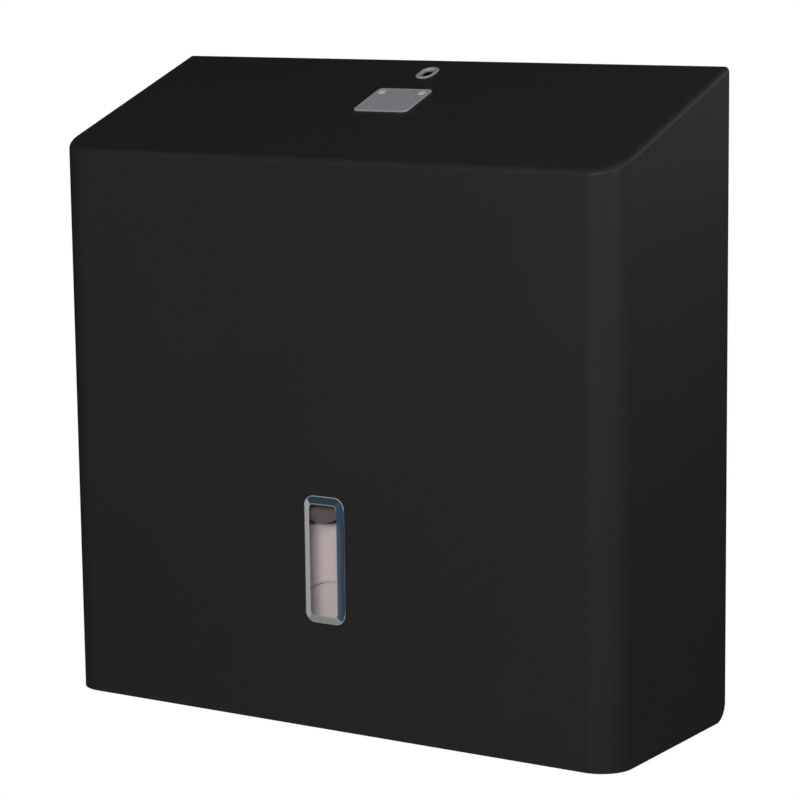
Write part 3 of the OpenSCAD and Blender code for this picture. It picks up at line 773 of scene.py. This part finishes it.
def spangle(material, scale):
    nt = material.node_tree
    grain, tone = nt.nodes["grain"], nt.nodes["tone"]
    crystals, split = nt.nodes.new("ShaderNodeTexVoronoi"), nt.nodes.new("ShaderNodeSeparateColor")
    crystals.inputs["Scale"].default_value = scale
    nt.links.new(grain.inputs["Vector"].links[0].from_socket, crystals.inputs["Vector"])
    nt.links.new(crystals.outputs["Color"], split.inputs["Color"])
    mixed = math_node(nt, "MULTIPLY_ADD", split.outputs["Red"], 0.6,
                      math_node(nt, "MULTIPLY", grain.outputs["Patches"], 0.5))
    nt.links.new(mixed, tone.inputs["Factor"])


def seam(material, pitch):
    nt = material.node_tree
    tone, skin = nt.nodes["tone"], nt.nodes["Principled BSDF"]
    uv, split = nt.nodes.new("ShaderNodeUVMap"), nt.nodes.new("ShaderNodeSeparateXYZ")
    uv.uv_map = "wound"
    nt.links.new(uv.outputs["UV"], split.inputs["Vector"])
    along = math_node(nt, "MULTIPLY_ADD", split.outputs["X"], 1 / (2 * math.pi * ROLL_R),
                      math_node(nt, "MULTIPLY", split.outputs["Y"], 1 / pitch))
    line = math_node(nt, "LESS_THAN", math_node(nt, "FRACT", along), 0.02)
    darker = nt.nodes.new("ShaderNodeMix")
    darker.data_type = "RGBA"
    darker.inputs["B"].default_value = (0.40, 0.385, 0.365, 1)
    nt.links.new(line, darker.inputs["Factor"])
    nt.links.new(tone.outputs["Result"], darker.inputs["A"])
    nt.links.new(darker.outputs["Result"], skin.inputs["Base Color"])


# Blackened steel for the lock, made near black so that it also serves as painted shade inside the
# keyhole.
lock_black_and_keyhole_shade = finish("blackened_steel_and_keyhole_shade", (0.007, 0.007, 0.007), (0.011, 0.011, 0.011),
                   0.5, 1800, 60, 0.10, specular=0.15)
CRYSTAL_SCALE, SEAM_PITCH = 150, 62 * MM
spangle(zinc, CRYSTAL_SCALE)
seam(board, SEAM_PITCH)
by_slot = {
    "black_steel": black_coat, "zinc_steel": zinc, "turned_steel": turned, "spring_steel": spring,
    "rivet_metal": rivet, "satin_plate": satin, "grey_plastic": grey, "dark_plastic": charcoal,
    "white_plastic": ivory, "core_board": board, "tissue": sheet_paper, "clear_lens": pane_clear,
}
for part in record["subparts"]:
    skin = nodes[part["node"]].data.materials
    skin.clear()
    skin.append(by_slot[part["material_slot"]])
# The lock case and bolt take the near-black finish that stands as painted shade in the keyhole.
for node in ("lock_case", "lock_bolt"):
    nodes[node].data.materials[0] = lock_black_and_keyhole_shade
print("finishes for", len(record["subparts"]), "solids")


# %% Merged copies with softened edges
EASE, CORE_EASE, CORE_NAME = 0.15 * MM, 0.05 * MM, "roll_core_"


def eased(node, body, width):
    piece = bpy.data.objects.new(node + "_eased", nodes[node].data.copy())
    bpy.context.scene.collection.objects.link(piece)
    shape(piece)
    bpy.ops.mesh.select_all(action="SELECT")
    bpy.ops.mesh.remove_doubles(threshold=3e-5)
    bpy.ops.mesh.dissolve_limited(angle_limit=math.radians(0.6))
    done(piece)
    modify(piece, "BEVEL", width=width, segments=2, limit_method="ANGLE",
           angle_limit=math.radians(40), use_clamp_overlap=True)
    shape(piece)
    bpy.ops.mesh.select_all(action="SELECT")
    bpy.ops.mesh.dissolve_degenerate(threshold=2e-6)
    done(piece)
    smooth(piece, 32)
    stands_for(piece, node, body)
    return piece


shown = {hidden for piece in bpy.data.objects for hidden in piece.get("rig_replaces", [])}
for body, members in record["behaviour"]["bodies"].items():
    for node in sorted(set(members) - shown):
        core = node.startswith(CORE_NAME)
        piece = eased(node, body, CORE_EASE if core else EASE)
        if core:
            unroll(piece, *stations[node.removeprefix(CORE_NAME)][:2])

# %% [markdown]
# ## Studio
# The photograph has a plain white ground and soft light. A pale floor lies well below the cabinet.
# Floor and world are white to the camera but dim as a light, so that the black coat stays black. A
# large soft box before the cabinet does most of the lighting. A black coat shows little but
# reflections, so the other boxes stand where a face mirrors them: one behind and to the right
# and one beside it lift the right side, and a small one draws the soft light on the round corner.
# One low box behind and to the left keeps the left side and the back readable.


# %% Floor and world
def white_to_camera(nt, dim, surface):
    ray, blend = nt.nodes.new("ShaderNodeLightPath"), nt.nodes.new("ShaderNodeMixShader")
    sky = surface.bl_idname == "ShaderNodeOutputWorld"
    seen = nt.nodes.new("ShaderNodeBackground" if sky else "ShaderNodeEmission")
    seen.inputs["Color"].default_value = (1, 1, 1, 1)
    seen.inputs["Strength"].default_value = 1.0
    nt.links.new(ray.outputs["Is Camera Ray"], blend.inputs["Fac"])
    nt.links.new(dim.outputs[0], blend.inputs[1])
    nt.links.new(seen.outputs[0], blend.inputs[2])
    nt.links.new(blend.outputs["Shader"], surface.inputs["Surface"])


floor = start("floor", bpy.ops.mesh.primitive_plane_add, size=40, location=(0, 0, -0.6))
pale = bpy.data.materials.new("pale_floor")
pale.use_nodes = True
pale_skin = pale.node_tree.nodes["Principled BSDF"]
pale_skin.inputs["Base Color"].default_value = (0.25, 0.25, 0.25, 1)
pale_skin.inputs["Roughness"].default_value = 0.9
white_to_camera(pale.node_tree, pale_skin, pale.node_tree.nodes["Material Output"])
floor.data.materials.append(pale)

world = bpy.data.worlds.new("studio")
world.use_nodes = True
bpy.context.scene.world = world
dim_sky = world.node_tree.nodes["Background"]
dim_sky.inputs["Color"].default_value = (1, 1, 1, 1)
dim_sky.inputs["Strength"].default_value = 0.006
white_to_camera(world.node_tree, dim_sky, world.node_tree.nodes["World Output"])


# %% Soft boxes
def softbox(name, stand, aim, wide, tall, power):
    data = bpy.data.lights.new(name, "AREA")
    data.shape, data.size, data.size_y, data.energy = "RECTANGLE", wide, tall, power
    lamp = bpy.data.objects.new(name, data)
    bpy.context.scene.collection.objects.link(lamp)
    lamp.location = stand
    lamp.rotation_euler = (Vector(aim) - Vector(stand)).to_track_quat("-Z", "Y").to_euler()
    lamp.visible_camera = False


CENTRE, UPPER_CORNER = (0, -0.06, 0.03), (0.157, -0.06, 0.13)
softbox("front_box", (0.42, -1.75, 0.80), CENTRE, 1.8, 0.8, 22.5)
softbox("side_box", (0.60, 0.10, 0.36), (0.157, -0.06, 0.12), 0.3, 0.3, 0.35)
softbox("rear_box", (0.75, 0.95, 0.50), CENTRE, 0.8, 0.8, 2.0)
softbox("corner_box", (0.62, -0.23, 0.24), UPPER_CORNER, 0.12, 0.12, 0.6)
softbox("back_fill", (-0.90, 1.70, -0.05), CENTRE, 1.4, 1.0, 13)
bpy.context.scene.view_settings.view_transform = "Standard"
bpy.context.scene.view_settings.look = "None"
